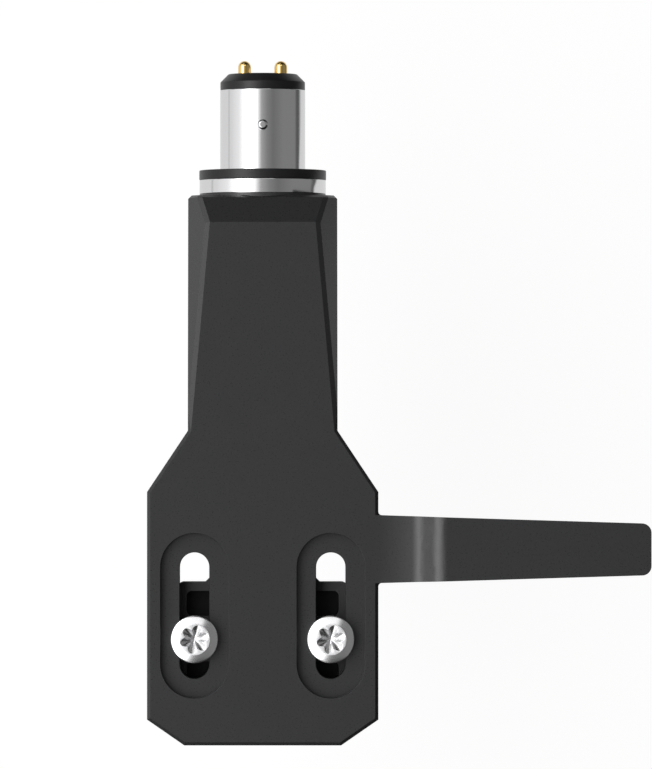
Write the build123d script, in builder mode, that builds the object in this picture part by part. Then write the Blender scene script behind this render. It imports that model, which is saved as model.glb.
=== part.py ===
from build123d import *
import os
from math import cos, radians, sin, tan

os.makedirs("parts", exist_ok=True)

# Turntable headshell with a moving-magnet stylus cartridge screwed under it, in mm.
# The origin is on the bayonet barrel's axis, at the gasket face that the tonearm socket seats on.
# +Y runs along the barrel to the tonearm, +X to the finger lift, +Z up. The stylus end is at -Y.

# Bayonet connector, along Y
barrel_radius = 4.0
barrel_length = 7.56
barrel_wall = 0.8
spigot_radius = 3.6
spigot_length = 4.6
flange_radius = 5.94
flange_thickness = 1.33
gasket_radius = 5.97
gasket_thickness = 0.9
cap_radius = 3.985
cap_rim = 0.74
cap_chamfer = 0.76
plug_depth = 12.0
peg_radius = 0.5
peg_height = 0.55
peg_chamfer = 0.2
peg_place = 4.17
peg_seat = 0.6

# Contact pins, four in a square
pin_radius = 0.6
pin_spacing = 3.4
pin_reach = 1.17
pin_shank_radius = 0.45
pin_shoulder = 2.0
pin_tail = 4.0

# Headshell casting
collar_height = 0.25
collar_root = 1.5
neck_length = 22.0
neck_width = 13.94
neck_depth = 6.3
neck_heel = 6.2
neck_toe = 1.0
plateau_rear = 5.04
plateau_rear_width = 10.44
end_slope_drop = 1.65
shoulder_height = 4.4
keel_chamfer = 2.0
corner_chamfer = 0.33
heel_chamfer = 0.25
plate_top = 7.6
plate_thickness = 2.6
plate_width = 21.54
plate_front_width = 14.6
flare_length = 5.7
plate_side_length = 21.2
plate_nose_length = 2.4
edge_chamfer = 0.3
channel_width = 8.8
channel_roof = 1.7
channel_front = 3.0
channel_toe = 1.0
channel_heel = 3.0

# Finger lift, cast with the plate
lift_setback = 5.32
lift_root_width = 6.4
lift_tip_width = 4.78
lift_length = 25.33
lift_thickness = 1.2
lift_tip_thickness = 1.0
lift_tip_radius = 0.87
lift_root_radius = 0.35
lift_ramp_foot = 3.13
lift_ramp_run = 3.3
lift_ramp_rise = 0.35
lift_rise = 1.6
lift_overlap = 1.2
lift_under_shift = 0.4
lift_under_slope = 0.12
lift_heel_extra = 0.2

# Cartridge mounting slots, half an inch apart
screw_spacing = 12.7
slot_width = 2.735
slot_length = 11.76
slot_setback = 11.52
recess_land = 1.2775
recess_depth = 0.9
recess_chamfer = 0.06
slot_chamfer = 0.06

# Mounting screws, M2.5
screw_shift = 2.2
screw_radius = 1.25
screw_length = 5.0
screw_end_chamfer = 0.25
head_radius = 2.22
head_height = 1.35
head_flat_radius = 1.42
head_rim = 0.92
drive_radius = 1.36
drive_waist_radius = 0.92
drive_depth = 0.75
drive_turn = 16.0

# Cartridge housing
ear_width = 15.9
ear_length = 10.6
ear_thickness = 3.0
ear_corner_radius = 0.6
ear_rim = 0.85
pocket_length = 2.32
pocket_radius = 0.5
pocket_depth = 2.2
ear_gusset = 0.75
ear_gusset_root = 0.1
housing_width = 9.2
housing_rear = 10.5
housing_height = 15.9
housing_wall = 0.7
housing_chamfer = 2.6
housing_chamfer_run = 1.82
chamber_roof = 1.3
chamber_corner = 0.2
chamber_gap = 0.2
nose_step = 3.2
nose_height = 5.4
socket_clearance = 0.05

# Cartridge terminals
terminal_block_depth = 1.6
terminal_spacing = 4.0
terminal_upper_drop = 3.4
terminal_pitch = 3.8
terminal_radius = 0.6
terminal_length = 5.0
terminal_tail = 1.6
terminal_end_chamfer = 0.2

# Crimped clips and leads
clip_wall = 0.22
clip_length = 3.6
clip_neck_length = 1.5
clip_clearance = 0.02
clip_taper = 0.4
clip_gap = 0.6
lead_radius = 0.45
lead_sides = 8
lead_bow = 4.2
lead_straight = 3.0
lead_splay_ratio = 0.35
lead_first_ratio = 0.42
lead_second_ratio = 0.6
lead_bow_ratio = 0.97
lead_bend_ratio = 0.45

# Stylus unit
tip_reach = 9.5
tip_depth = 17.5
rake = 22.0
lever_length = 7.0
cantilever_radius = 0.25
cantilever_wall = 0.07
cantilever_overhang = 0.45
diamond_radius = 0.14
diamond_height = 0.7
diamond_cone = 0.32
tube_width = 4.0
tube_height = 3.2
tube_wall = 0.3
tube_lift = 0.3
tube_length = 5.6
tube_grip = 1.0
block_length = 4.6
bore_radius = 0.9
bore_depth = 2.2
damper_radius = 0.85
damper_thickness = 0.8
sleeve_wall = 0.1
sleeve_length = 1.4
magnet_radius = 0.45
magnet_length = 1.3
wire_radius = 0.08
wire_anchor = 1.2
fit_clearance = 0.02
flex_clearance = 0.05
holder_width = 9.0
holder_reach = 5.4
holder_notch = 2.6
holder_corner = 0.8
holder_top_length = 1.0
holder_brow = 2.8
holder_chin = 5.6
holder_keel = 2.6
grip_rib_count = 4
grip_rib_pitch = 0.8
grip_rib_depth = 0.25
grip_rib_place = 2.2
grip_rib_margin = 1.2

# Generator, one coil and pole piece for each channel
pole_thickness = 0.7
pole_height = 2.0
pole_length = 9.4
pole_rise = 1.4
pole_gap = 0.3
pole_bend_gap = 0.2
coil_length = 3.2
coil_build = 0.7
coil_rim = 0.4
coil_rim_build = 0.77
coil_corner = 0.5
coil_inset = 0.3

# How far cuts run past the faces they open, and the slack in picking edges
cut_over = 1.0
pick_margin = 0.1
least_slope = 0.2

# Places worked out from the sizes above
flange_face = -gasket_thickness
collar_face = flange_face - flange_thickness
neck_rear = collar_face - collar_height
neck_front = neck_rear - neck_length
flare_front = neck_front - flare_length
side_front = flare_front - plate_side_length
nose_front = side_front - plate_nose_length
lift_place = lift_setback - flare_front
slot_place = slot_setback - flare_front
screw_place = slot_place + screw_shift
plate_under = plate_top - plate_thickness
lift_reach = plate_width / 2 + lift_length
lift_ramp_start = plate_width / 2 + lift_ramp_foot
lift_ramp_end = lift_ramp_start + lift_ramp_run
recess_floor = plate_top - recess_depth
recess_margin = (plate_width - screw_spacing - slot_width) / 2 - recess_land
screw_x = screw_spacing / 2
barrel_bore = barrel_radius - barrel_wall
pin_tip = barrel_length + cap_rim + cap_chamfer + pin_reach
plug_rear = barrel_length - plug_depth
pin_tail_end = plug_rear - pin_tail
ear_rear = ear_length / 2 - screw_place
ear_front = -ear_length / 2 - screw_place
housing_back = housing_rear - screw_place
housing_bottom = plate_under - housing_height
nose_y = ear_front + nose_step
upper_terminal = plate_under - terminal_upper_drop
stylus_y = -screw_place - tip_reach
stylus_z = plate_under - tip_depth
pivot_y = stylus_y + lever_length * cos(radians(rake))
pivot_z = stylus_z + diamond_height + lever_length * sin(radians(rake))
needle = Plane(
    origin=(0, pivot_y, pivot_z),
    x_dir=(1, 0, 0),
    z_dir=(0, -cos(radians(rake)), -sin(radians(rake))),
)
sleeve_radius = cantilever_radius + fit_clearance + sleeve_wall
tube_centre = pivot_z + tube_lift
tube_front = nose_y - tube_grip
tube_back = tube_front + tube_length
lead_names = ["white", "red", "blue", "green"]
corners = [(-1, 1), (1, 1), (-1, -1), (1, -1)]


def save(piece, label):
    """Label a finished piece and write its STEP file."""
    piece.part.label = label
    export_step(piece.part, f"parts/{label}.step")


def round_piece(plane, outer, inner, start, end):
    """A rod or tube on a plane's axis, from start to end along it."""
    with BuildPart() as piece:
        with BuildSketch(plane.offset(start)):
            Circle(outer)
            if inner:
                Circle(inner, mode=Mode.SUBTRACT)
        extrude(amount=end - start)
    return piece


def along_y(x, z):
    """The plane across Y through a point beside the barrel's axis."""
    return Plane(origin=(x, 0, z), x_dir=(-1, 0, 0), z_dir=(0, 1, 0))


barrel_axis = along_y(0, 0)

# Finger lift, its side view cut to its plan
with BuildPart() as finger_lift:
    with BuildSketch(Plane.XZ):
        with BuildLine():
            root_x = plate_width / 2 - lift_overlap
            flat_z = plate_top + lift_rise
            start = Line((root_x, plate_top), (plate_width / 2, plate_top))
            foot = Line(start @ 1, (lift_ramp_start, plate_top + lift_ramp_rise))
            ramp = Spline(
                foot @ 1,
                (lift_ramp_end, flat_z),
                tangents=[foot % 1, (1, 0)],
            )
            top = Line(ramp @ 1, (lift_reach, flat_z))
            tip = Line(top @ 1, (lift_reach, flat_z - lift_tip_thickness))
            belly = Line(tip @ 1, (lift_ramp_end + lift_under_shift, flat_z - lift_thickness))
            under = Spline(
                belly @ 1,
                (lift_ramp_start + lift_under_shift, plate_top + lift_ramp_rise - lift_thickness),
                tangents=[(-1, 0), (-1, -lift_under_slope)],
            )
            heel = Line(under @ 1, (root_x, plate_top - lift_thickness - lift_heel_extra))
            Line(heel @ 1, start @ 0)
        make_face()
    extrude(amount=lift_place + lift_root_width, both=True)
    with BuildSketch(Plane.XY.offset(plate_under)):
        with BuildLine():
            Polyline(
                (root_x, -lift_place - lift_root_width / 2),
                (lift_reach, -lift_place - lift_tip_width / 2),
                (lift_reach, -lift_place + lift_tip_width / 2),
                (root_x, -lift_place + lift_root_width / 2),
                close=True,
            )
        make_face()
        fillet(vertices().group_by(Axis.X)[-1], lift_tip_radius)
    extrude(amount=plate_thickness + lift_rise + cut_over, mode=Mode.INTERSECT)

# Headshell casting: neck, plate, collar and finger lift in one piece
with BuildPart() as headshell:
    with BuildSketch(Plane.YZ):
        with BuildLine():
            Polyline(
                (neck_rear, -neck_depth),
                (neck_rear, plate_top - end_slope_drop),
                (-plateau_rear, plate_top),
                (neck_front - channel_front, plate_top),
                (neck_front - channel_front, plate_under),
                (neck_front + neck_toe, plate_under),
                (neck_rear - neck_heel, -neck_depth),
                close=True,
            )
        make_face()
    extrude(amount=neck_width / 2, both=True)
    for side in (-1, 1):
        shoulder = Vector(side * neck_width / 2, neck_rear, shoulder_height)
        meeting = Vector(side * neck_width / 2, neck_front, plate_top)
        plateau = Vector(side * plateau_rear_width / 2, -plateau_rear, plate_top)
        normal = (meeting - shoulder).cross(plateau - shoulder)
        if normal.Z < 0:
            normal = normal * -1
        split(bisect_by=Plane(origin=shoulder, z_dir=normal), keep=Keep.BOTTOM)
    keel = edges().filter_by(Axis.Y).group_by(Axis.Z)[0]
    chamfer(keel, keel_chamfer)
    with BuildSketch(Plane.XY.offset(plate_under)):
        with BuildLine():
            half_plan = [
                (neck_width / 2, neck_front),
                (plate_width / 2, flare_front),
                (plate_width / 2, side_front),
                (plate_front_width / 2, nose_front),
            ]
            mirrored = [(-x, y) for x, y in reversed(half_plan)]
            Polyline(*half_plan, *mirrored, close=True)
        make_face()
    extrude(amount=plate_thickness)
    top_face = faces().sort_by(Axis.Z)[-1]
    rim = top_face.outer_wire().edges().sort_by(Axis.Y)[:-1]
    slope_face = faces().filter_by(lambda face: min(face.normal_at().Y, face.normal_at().Z) > least_slope)[0]
    slope_sides = slope_face.edges().filter_by(Axis.X, reverse=True)
    chamfer(rim + slope_sides, edge_chamfer)
    rear_corners = edges().filter_by(Axis.Z).group_by(Axis.Y)[-1]
    chamfer(rear_corners, corner_chamfer)
    rear_face = faces().sort_by(Axis.Y)[-1]
    rear_top = rear_face.edges().filter_by(lambda edge: edge.center().Z > shoulder_height + least_slope)
    chamfer(rear_top, heel_chamfer)
    with BuildSketch(barrel_axis.offset(neck_rear - collar_root)):
        Circle(flange_radius)
    extrude(amount=collar_height + collar_root)
    add(finger_lift.part)
    lift_sides = edges().filter_by(Axis.Z).filter_by_position(
        Axis.X, plate_width / 2 - pick_margin, plate_width / 2 + pick_margin
    )
    root_reach = lift_root_width / 2 + pick_margin
    lift_roots = lift_sides.filter_by_position(Axis.Y, -lift_place - root_reach, -lift_place + root_reach)
    fillet(lift_roots, lift_root_radius)
    # Bore for the barrel's spigot, and the wire channel that opens under the neck
    with BuildSketch(barrel_axis.offset(collar_face)):
        Circle(spigot_radius)
    extrude(amount=-spigot_length, mode=Mode.SUBTRACT)
    with BuildSketch(Plane.YZ):
        with BuildLine():
            Polyline(
                (collar_face - spigot_length, -spigot_radius),
                (collar_face - spigot_length, plate_top - channel_roof),
                (neck_front - channel_front, plate_top - channel_roof),
                (neck_front - channel_front, -neck_depth),
                (neck_rear - neck_heel - channel_heel, -neck_depth - cut_over),
                (neck_rear - neck_heel - channel_toe, -spigot_radius),
                close=True,
            )
        make_face()
    extrude(amount=channel_width / 2, both=True, mode=Mode.SUBTRACT)
    # Countersunk racetracks and the slots through them
    with BuildSketch(Plane.XY.offset(plate_top)):
        with Locations((-screw_x, -slot_place), (screw_x, -slot_place)):
            SlotOverall(slot_length + 2 * recess_margin, slot_width + 2 * recess_margin, rotation=90)
    extrude(amount=-recess_depth, mode=Mode.SUBTRACT)
    chamfer(edges(Select.LAST).group_by(Axis.Z)[-1], recess_chamfer)
    with BuildSketch(Plane.XY.offset(recess_floor)):
        with Locations((-screw_x, -slot_place), (screw_x, -slot_place)):
            SlotOverall(slot_length, slot_width, rotation=90)
    extrude(amount=-plate_thickness, mode=Mode.SUBTRACT)
    chamfer(edges(Select.LAST).group_by(Axis.Z)[-1], slot_chamfer)
save(headshell, "headshell")

# Bayonet barrel with its flange and the spigot that is pressed into the neck
with BuildPart() as bayonet_barrel:
    with BuildSketch(Plane.XY):
        with BuildLine():
            Polyline(
                (barrel_bore, collar_face - spigot_length),
                (spigot_radius, collar_face - spigot_length),
                (spigot_radius, collar_face),
                (flange_radius, collar_face),
                (flange_radius, flange_face),
                (barrel_radius, flange_face),
                (barrel_radius, barrel_length),
                (barrel_bore, barrel_length),
                close=True,
            )
        make_face()
    revolve(axis=Axis.Y)
    with BuildSketch(Plane(origin=(0, peg_place, 0))):
        Circle(peg_radius)
    extrude(amount=barrel_radius + cut_over, mode=Mode.SUBTRACT)
save(bayonet_barrel, "bayonet_barrel")

# Locating peg on top of the barrel
with BuildPart() as locating_peg:
    with BuildSketch(Plane(origin=(0, peg_place, barrel_radius - peg_seat))):
        Circle(peg_radius)
    extrude(amount=peg_seat + peg_height)
    chamfer(faces().sort_by(Axis.Z)[-1].edges(), peg_chamfer)
save(locating_peg, "locating_peg")

# Rubber gasket on the flange
gasket = round_piece(barrel_axis, gasket_radius, barrel_radius, flange_face, 0)
save(gasket, "gasket")

# Contact carrier: a cap over the barrel's end and a plug down its bore
with BuildPart() as contact_cap:
    with BuildSketch(Plane.XY):
        with BuildLine():
            Polyline(
                (0, plug_rear),
                (barrel_bore, plug_rear),
                (barrel_bore, barrel_length),
                (cap_radius, barrel_length),
                (cap_radius, barrel_length + cap_rim),
                (cap_radius - cap_chamfer, barrel_length + cap_rim + cap_chamfer),
                (0, barrel_length + cap_rim + cap_chamfer),
                close=True,
            )
        make_face()
    revolve(axis=Axis.Y)
    cap_end = barrel_length + cap_rim + cap_chamfer
    with BuildSketch(barrel_axis.offset(plug_rear)):
        with GridLocations(pin_spacing, pin_spacing, 2, 2):
            Circle(pin_shank_radius)
    extrude(amount=plug_depth + cap_rim + cap_chamfer, mode=Mode.SUBTRACT)
    with BuildSketch(barrel_axis.offset(cap_end)):
        with GridLocations(pin_spacing, pin_spacing, 2, 2):
            Circle(pin_radius)
    extrude(amount=-pin_shoulder, mode=Mode.SUBTRACT)
save(contact_cap, "contact_cap")

# Contact pins with round noses, and the clips on their tails
for number, (side, level) in enumerate(corners, start=1):
    x = side * pin_spacing / 2
    z = level * pin_spacing / 2
    with BuildPart() as contact_pin:
        with BuildSketch(Plane(origin=(x, 0, z))):
            with BuildLine():
                nose_base = pin_tip - pin_radius
                shank = Polyline(
                    (0, pin_tail_end),
                    (pin_shank_radius, pin_tail_end),
                    (pin_shank_radius, cap_end - pin_shoulder),
                    (pin_radius, cap_end - pin_shoulder),
                    (pin_radius, nose_base),
                )
                nose = CenterArc((0, nose_base), pin_radius, 0, 90)
                Line(nose @ 1, shank @ 0)
            make_face()
        revolve(axis=Axis((x, 0, z), (0, 1, 0)))
    save(contact_pin, f"contact_pin_{number}")


def clip(x, z, mouth, way, pin_r):
    """A crimped clip from its mouth on a pin to the neck that grips the lead."""
    bore = pin_r + clip_clearance
    outer = bore + clip_wall
    grip = lead_radius + clip_wall
    with BuildPart() as piece:
        with BuildSketch(Plane(origin=(x, 0, z))):
            with BuildLine():
                Polyline(
                    (bore, mouth),
                    (outer, mouth),
                    (outer, mouth + way * (clip_length - clip_taper)),
                    (grip, mouth + way * clip_length),
                    (grip, mouth + way * (clip_length + clip_neck_length)),
                    (0, mouth + way * (clip_length + clip_neck_length)),
                    (0, mouth + way * clip_length),
                    (bore, mouth + way * clip_length),
                    close=True,
                )
            make_face()
        revolve(axis=Axis((x, 0, z), (0, 1, 0)))
    return piece


shell_clip_mouth = plug_rear - clip_gap
shell_clip_end = shell_clip_mouth - clip_length - clip_neck_length
for number, (side, level) in enumerate(corners, start=1):
    x = side * pin_spacing / 2
    z = level * pin_spacing / 2
    shell_clip = clip(x, z, shell_clip_mouth, -1, pin_shank_radius)
    save(shell_clip, f"headshell_clip_{number}")

# Terminal pins in their block, and the clips on them
cart_clip_mouth = housing_back + terminal_length + terminal_end_chamfer - clip_length
cart_clip_end = cart_clip_mouth + clip_length + clip_neck_length
for number, (side, level) in enumerate(corners, start=1):
    x = side * terminal_spacing / 2
    z = upper_terminal - (0 if level > 0 else terminal_pitch)
    with BuildPart() as terminal_pin:
        with BuildSketch(Plane(origin=(x, 0, z))):
            with BuildLine():
                Polyline(
                    (0, housing_back - terminal_block_depth - terminal_tail),
                    (terminal_radius, housing_back - terminal_block_depth - terminal_tail),
                    (terminal_radius, housing_back + terminal_length - terminal_end_chamfer),
                    (terminal_radius - terminal_end_chamfer, housing_back + terminal_length),
                    (0, housing_back + terminal_length),
                    close=True,
                )
            make_face()
        revolve(axis=Axis((x, 0, z), (0, 1, 0)))
    save(terminal_pin, f"terminal_pin_{number}")
    cartridge_clip = clip(x, z, cart_clip_mouth, 1, terminal_radius)
    save(cartridge_clip, f"cartridge_clip_{number}")


def lead_route(number):
    """Points from a headshell clip to the cartridge clip in line with it, bowed down and outwards."""
    side, level = corners[number - 1]
    start = Vector(side * pin_spacing / 2, shell_clip_end, level * pin_spacing / 2)
    level_drop = 0 if level > 0 else terminal_pitch
    end = Vector(side * terminal_spacing / 2, cart_clip_end, upper_terminal - level_drop)
    span = end - start
    bow = Vector(side * lead_splay_ratio, 0, -1) * lead_bow
    first_bend = start - Vector(0, lead_straight, 0)
    last_bend = end + Vector(0, lead_straight, 0)
    first_turn = start + span * lead_first_ratio + bow
    second_turn = start + span * lead_second_ratio + bow * lead_bow_ratio
    return [start, first_bend, first_turn, second_turn, last_bend, end]


# Leads between the clips, straight runs joined by tangent arcs, with a plain eight-sided section
for number, colour in enumerate(lead_names, start=1):
    route = lead_route(number)
    runs = [(b - a).length for a, b in zip(route, route[1:])]
    turns = [
        (b - a).get_angle(c - b) for a, b, c in zip(route, route[1:], route[2:])
    ]
    radii = [
        lead_bend_ratio * min(before, after) / tan(radians(turn / 2))
        for before, after, turn in zip(runs, runs[1:], turns)
    ]
    with BuildPart() as lead:
        with BuildLine() as path:
            FilletPolyline(*route, radius=radii)
        centre_line = path.wires()[0]
        with BuildSketch(Plane(origin=centre_line @ 0, z_dir=centre_line % 0)) as section:
            RegularPolygon(lead_radius, lead_sides)
        sweep()
    expected = centre_line.length * section.sketch.area
    print(
        f"lead {colour}: {centre_line.length:.2f} mm, radii "
        f"{[round(radius, 1) for radius in radii]}, volume over section times length "
        f"{lead.part.volume / expected:.4f}"
    )
    save(lead, f"lead_{colour}")

# Mounting screws, pan heads with a six-lobed drive
for name, side in (("left", -1), ("right", 1)):
    screw_foot = Plane(origin=(side * screw_x, -screw_place, 0))
    with BuildPart() as mounting_screw:
        with BuildSketch(Plane(screw_foot.origin, x_dir=(1, 0, 0), z_dir=(0, -1, 0))):
            with BuildLine():
                head_top = recess_floor + head_height
                Polyline(
                    (0, head_top),
                    (0, recess_floor - screw_length),
                    (screw_radius - screw_end_chamfer, recess_floor - screw_length),
                    (screw_radius, recess_floor - screw_length + screw_end_chamfer),
                    (screw_radius, recess_floor),
                    (head_radius, recess_floor),
                    (head_radius, recess_floor + head_rim),
                    (head_flat_radius, head_top),
                    close=True,
                )
            make_face()
        revolve(axis=Axis(screw_foot.origin, (0, 0, 1)))
        with BuildSketch(screw_foot.offset(head_top), mode=Mode.PRIVATE) as drive:
            with BuildLine():
                star = []
                for lobe in range(6):
                    for radius, turn in ((drive_radius, 0), (drive_waist_radius, 30)):
                        bearing = radians(drive_turn + 60 * lobe + turn)
                        star.append((radius * cos(bearing), radius * sin(bearing)))
                Polyline(*star, close=True)
            make_face()
        apex = Vertex(side * screw_x, -screw_place, head_top - drive_depth)
        loft([drive.sketch.face(), apex], ruled=True, mode=Mode.SUBTRACT)
    save(mounting_screw, f"mounting_screw_{name}")

# Cartridge housing: cored ears above, a narrow box below with a socket for the stylus unit
with BuildPart() as cartridge_housing:
    with BuildSketch(Plane.YZ):
        with BuildLine():
            Polyline(
                (housing_back, plate_under),
                (housing_back, housing_bottom + housing_chamfer),
                (housing_back - housing_chamfer_run, housing_bottom),
                (nose_y, housing_bottom),
                (nose_y, plate_under - nose_height - nose_step),
                (ear_front, plate_under - nose_height),
                (ear_front, plate_under),
                close=True,
            )
        make_face()
    extrude(amount=housing_width / 2, both=True)
    with BuildSketch(Plane.XY.offset(plate_under)):
        with Locations((0, -screw_place)):
            RectangleRounded(ear_width, ear_length, ear_corner_radius)
        with BuildLine():
            Polyline(
                (-housing_width / 2 - ear_gusset, ear_rear - ear_gusset_root),
                (-housing_width / 2 - ear_gusset, ear_rear),
                (-housing_width / 2, ear_rear + ear_gusset),
                (housing_width / 2, ear_rear + ear_gusset),
                (housing_width / 2 + ear_gusset, ear_rear),
                (housing_width / 2 + ear_gusset, ear_rear - ear_gusset_root),
                close=True,
            )
        make_face()
    extrude(amount=-ear_thickness)
    with BuildSketch(Plane.XY.offset(plate_under)):
        pocket_width = ear_width / 2 - ear_rim - housing_width / 2
        pocket_x = housing_width / 2 + pocket_width / 2
        pocket_y = ear_length / 2 - ear_rim - pocket_length / 2
        with Locations((0, -screw_place)):
            with GridLocations(2 * pocket_x, 2 * pocket_y, 2, 2):
                RectangleRounded(pocket_width, pocket_length, pocket_radius)
    extrude(amount=-pocket_depth, mode=Mode.SUBTRACT)
    with BuildSketch(Plane.XY.offset(plate_under)):
        with Locations((0, -screw_place)):
            with GridLocations(screw_spacing, 1, 2, 1):
                Circle(screw_radius)
    extrude(amount=-ear_thickness, mode=Mode.SUBTRACT)
    # Chamber for the generator, open to the back, and the socket at the front
    chamber_width = housing_width - 2 * housing_wall
    chamber_front = tube_back + chamber_gap
    with BuildSketch(Plane.YZ):
        with BuildLine():
            Polyline(
                (housing_back, plate_under - chamber_roof),
                (housing_back, housing_bottom + housing_chamfer + housing_wall),
                (housing_back - housing_chamfer_run - chamber_corner, housing_bottom + housing_wall),
                (chamber_front, housing_bottom + housing_wall),
                (chamber_front, plate_under - chamber_roof),
                close=True,
            )
        make_face()
    extrude(amount=chamber_width / 2, both=True, mode=Mode.SUBTRACT)
    with BuildSketch(Plane.XZ.offset(-chamber_front)):
        with Locations((0, tube_centre)):
            Rectangle(tube_width + 2 * socket_clearance, tube_height + 2 * socket_clearance)
    extrude(amount=chamber_front - nose_y, mode=Mode.SUBTRACT)
    with BuildSketch(Plane.XZ.offset(-chamber_front)):
        with Locations((0, tube_centre)):
            pole_span = tube_width + 2 * pole_thickness + 4 * socket_clearance
            Rectangle(pole_span, pole_height + 2 * socket_clearance)
    extrude(amount=chamber_front - nose_y - tube_grip, mode=Mode.SUBTRACT)
save(cartridge_housing, "cartridge_housing")

# Terminal block that closes the chamber and holds the pins
with BuildPart() as terminal_block:
    with BuildSketch(Plane.XZ.offset(-housing_back)):
        block_top = plate_under - chamber_roof
        block_bottom = housing_bottom + housing_chamfer + housing_wall
        with Locations((0, (block_top + block_bottom) / 2)):
            Rectangle(chamber_width, block_top - block_bottom)
    extrude(amount=terminal_block_depth)
    with BuildSketch(Plane.XZ.offset(-housing_back)):
        with Locations((0, upper_terminal - terminal_pitch / 2)):
            with GridLocations(terminal_spacing, terminal_pitch, 2, 2):
                Circle(terminal_radius)
    extrude(amount=terminal_block_depth, mode=Mode.SUBTRACT)
save(terminal_block, "terminal_block")

# Pole pieces beside the stylus tube, and the coils wound on them behind it
pole_front = nose_y + tube_grip + pole_gap
for name, side in (("left", -1), ("right", 1)):
    pole_x = side * (tube_width / 2 + 2 * socket_clearance + pole_thickness / 2)
    coil_centre = tube_centre + pole_rise
    with BuildPart() as pole_piece:
        with BuildSketch(Plane.YZ.offset(pole_x)):
            with BuildLine():
                half = pole_height / 2
                bend = chamber_front + pole_bend_gap
                lag = pole_height * tan(radians(22.5))
                Polyline(
                    (pole_front, tube_centre - half),
                    (bend + lag, tube_centre - half),
                    (bend + lag + pole_rise, coil_centre - half),
                    (pole_front + pole_length, coil_centre - half),
                    (pole_front + pole_length, coil_centre + half),
                    (bend + pole_rise, coil_centre + half),
                    (bend, tube_centre + half),
                    (pole_front, tube_centre + half),
                    close=True,
                )
            make_face()
        extrude(amount=pole_thickness / 2, both=True)
    save(pole_piece, f"pole_piece_{name}")
    with BuildPart() as coil:
        coil_back = pole_front + pole_length - coil_inset
        with BuildSketch(Plane.XZ.offset(-coil_back)):
            with Locations((pole_x, coil_centre)):
                RectangleRounded(
                    pole_thickness + 2 * coil_build, pole_height + 2 * coil_build, coil_corner
                )
        extrude(amount=coil_length)
        rim_places = [-coil_back, coil_length - coil_rim - coil_back]
        with BuildSketch(*[Plane.XZ.offset(place) for place in rim_places]):
            with Locations((pole_x, coil_centre)):
                Rectangle(pole_thickness + 2 * coil_rim_build, pole_height + 2 * coil_rim_build)
        extrude(amount=coil_rim)
        with BuildSketch(Plane.XZ.offset(-coil_back)):
            with Locations((pole_x, coil_centre)):
                Rectangle(pole_thickness, pole_height)
        extrude(amount=coil_length, mode=Mode.SUBTRACT)
    save(coil, f"coil_{name}")

# Stylus unit: a grip with a metal tube that plugs into the housing
with BuildPart() as stylus_holder:
    with BuildSketch(Plane.YZ):
        with BuildLine():
            holder_front = nose_y - holder_reach
            holder_top = plate_under - nose_height - nose_step
            Polyline(
                (nose_y, housing_bottom),
                (nose_y, holder_top),
                (ear_front, plate_under - nose_height),
                (ear_front - holder_top_length, plate_under - nose_height),
                (holder_front, plate_under - nose_height - holder_brow),
                (holder_front, stylus_z + holder_chin),
                (nose_y - holder_keel, housing_bottom),
                close=True,
            )
        make_face()
    extrude(amount=holder_width / 2, both=True)
    with BuildSketch(Plane.XZ.offset(-nose_y)):
        with Locations((0, tube_centre)):
            Rectangle(tube_width, tube_height)
    extrude(amount=tube_grip, mode=Mode.SUBTRACT)
    with BuildSketch(Plane.XZ.offset(-tube_front)):
        with BuildLine():
            Polyline(
                (-holder_notch / 2, housing_bottom - cut_over),
                (-holder_notch / 2, tube_centre + bore_radius),
                (holder_notch / 2, tube_centre + bore_radius),
                (holder_notch / 2, housing_bottom - cut_over),
                close=True,
            )
        make_face()
    extrude(amount=holder_reach + cut_over, mode=Mode.SUBTRACT)
    nose_corners = edges().filter_by(Axis.Z).group_by(Axis.Y)[0].sort_by(Axis.X)
    chamfer([nose_corners[0], nose_corners[-1]], holder_corner)
    rib_height = holder_top - housing_bottom - 2 * grip_rib_margin
    for side in (-1, 1):
        with BuildSketch(Plane.YZ.offset(side * holder_width / 2)):
            with Locations((nose_y - grip_rib_place, (holder_top + housing_bottom) / 2)):
                with GridLocations(grip_rib_pitch, 1, grip_rib_count, 1):
                    Rectangle(grip_rib_pitch / 2, rib_height)
        extrude(amount=-side * grip_rib_depth, mode=Mode.SUBTRACT)
save(stylus_holder, "stylus_holder")

with BuildPart() as stylus_tube:
    with BuildSketch(Plane.XZ.offset(-tube_front)):
        with Locations((0, tube_centre)):
            Rectangle(tube_width, tube_height)
            Rectangle(tube_width - 2 * tube_wall, tube_height - 2 * tube_wall, mode=Mode.SUBTRACT)
    extrude(amount=-tube_length)
save(stylus_tube, "stylus_tube")

with BuildPart() as suspension_block:
    with BuildSketch(Plane.XZ.offset(-tube_front)):
        with Locations((0, tube_centre)):
            Rectangle(tube_width - 2 * tube_wall, tube_height - 2 * tube_wall)
    extrude(amount=-block_length)
    with BuildSketch(needle.offset(-bore_depth)):
        Circle(bore_radius)
    extrude(amount=bore_depth + block_length, mode=Mode.SUBTRACT)
    with BuildSketch(needle.offset(-bore_depth - block_length)):
        Circle(wire_radius)
    extrude(amount=block_length + cut_over, mode=Mode.SUBTRACT)
save(suspension_block, "suspension_block")

damper_hole = sleeve_radius + flex_clearance
half_damper = damper_thickness / 2
damper = round_piece(needle, damper_radius, damper_hole, -half_damper, half_damper)
save(damper, "damper")

sleeve_bore = cantilever_radius + fit_clearance
half_sleeve = sleeve_length / 2
pivot_sleeve = round_piece(needle, sleeve_radius, sleeve_bore, -half_sleeve, half_sleeve)
save(pivot_sleeve, "pivot_sleeve")

magnet = round_piece(needle, magnet_radius, 0, -half_sleeve - magnet_length, -half_sleeve)
save(magnet, "magnet")

wire_start = -half_sleeve - magnet_length
suspension_wire = round_piece(needle, wire_radius, 0, -bore_depth - wire_anchor, wire_start)
save(suspension_wire, "suspension_wire")

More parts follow.
